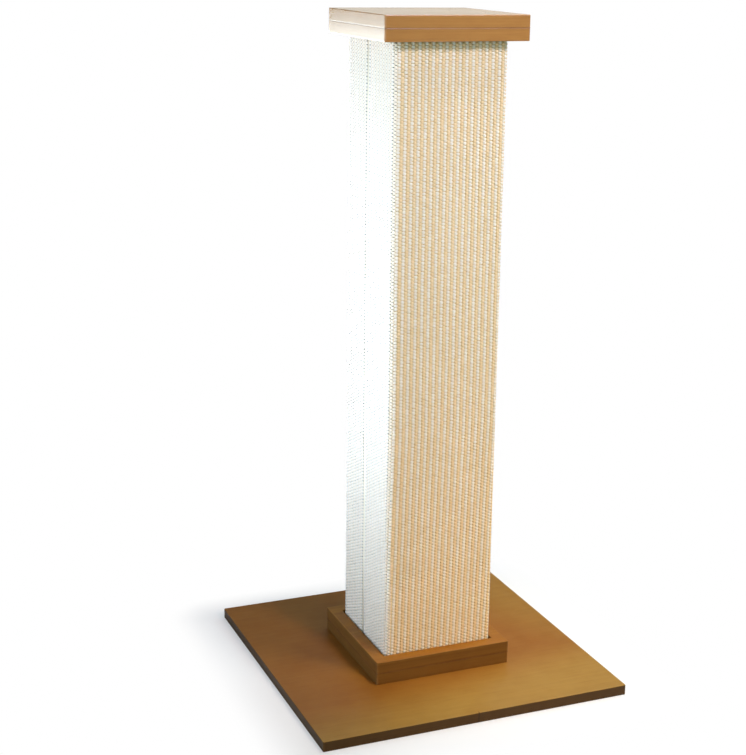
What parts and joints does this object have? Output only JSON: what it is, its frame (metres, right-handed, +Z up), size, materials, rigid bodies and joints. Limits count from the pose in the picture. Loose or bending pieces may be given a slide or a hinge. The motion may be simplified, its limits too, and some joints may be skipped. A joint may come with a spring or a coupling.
{
  "type": "cat scratching post",
  "caption": "Square scratching post wrapped in woven sisal cloth, held in a two-layer wooden collar on a broad square base board, with a two-layer wooden cap.",
  "frame": {"origin": "bottom centre of the base board, on the floor", "axes": "+Z up along the post, -Y towards the front face, -X towards the side with the seam of the cloth"},
  "size_m": [0.4, 0.4, 0.822],
  "materials": {
    "base_wood": "satin clear coat over brown board",
    "trim_wood": "satin clear coat over brown board",
    "core_board": "raw fibreboard",
    "sisal": "woven sisal cloth",
    "plated_steel": "zinc plated",
    "brass_insert": "turned"
  },
  "bodies": {
    "root": {"base_board": "base_wood", "base_bolt_1": "plated_steel", "base_bolt_2": "plated_steel", "block_brad_1": "plated_steel", "block_brad_2": "plated_steel", "block_brad_3": "plated_steel", "block_brad_4": "plated_steel", "block_brad_5": "plated_steel", "block_brad_6": "plated_steel", "block_brad_7": "plated_steel", "block_brad_8": "plated_steel", "bolt_washer_1": "plated_steel", "bolt_washer_2": "plated_steel", "cap_lower_board": "trim_wood", "cap_screw_1": "plated_steel", "cap_screw_2": "plated_steel", "cap_screw_3": "plated_steel", "cap_screw_4": "plated_steel", "cap_upper_board": "trim_wood", "cloth_staple_1": "plated_steel", "cloth_staple_2": "plated_steel", "cloth_staple_3": "plated_steel", "cloth_staple_4": "plated_steel", "cloth_staple_5": "plated_steel", "cloth_staple_6": "plated_steel", "cloth_staple_7": "plated_steel", "cloth_staple_8": "plated_steel", "collar_lower_ring": "trim_wood", "collar_screw_1": "plated_steel", "collar_screw_2": "plated_steel", "collar_screw_3": "plated_steel", "collar_screw_4": "plated_steel", "collar_upper_ring": "trim_wood", "core_back_panel": "core_board", "core_front_panel": "core_board", "core_left_panel": "core_board", "core_right_panel": "core_board", "corner_brad_1": "plated_steel", "corner_brad_10": "plated_steel", "corner_brad_11": "plated_steel", "corner_brad_12": "plated_steel", "corner_brad_2": "plated_steel", "corner_brad_3": "plated_steel", "corner_brad_4": "plated_steel", "corner_brad_5": "plated_steel", "corner_brad_6": "plated_steel", "corner_brad_7": "plated_steel", "corner_brad_8": "plated_steel", "corner_brad_9": "plated_steel", "foot_block": "core_board", "head_block": "core_board", "sisal_sleeve": "sisal", "threaded_insert_1": "brass_insert", "threaded_insert_2": "brass_insert"}
  },
  "joints": []
}
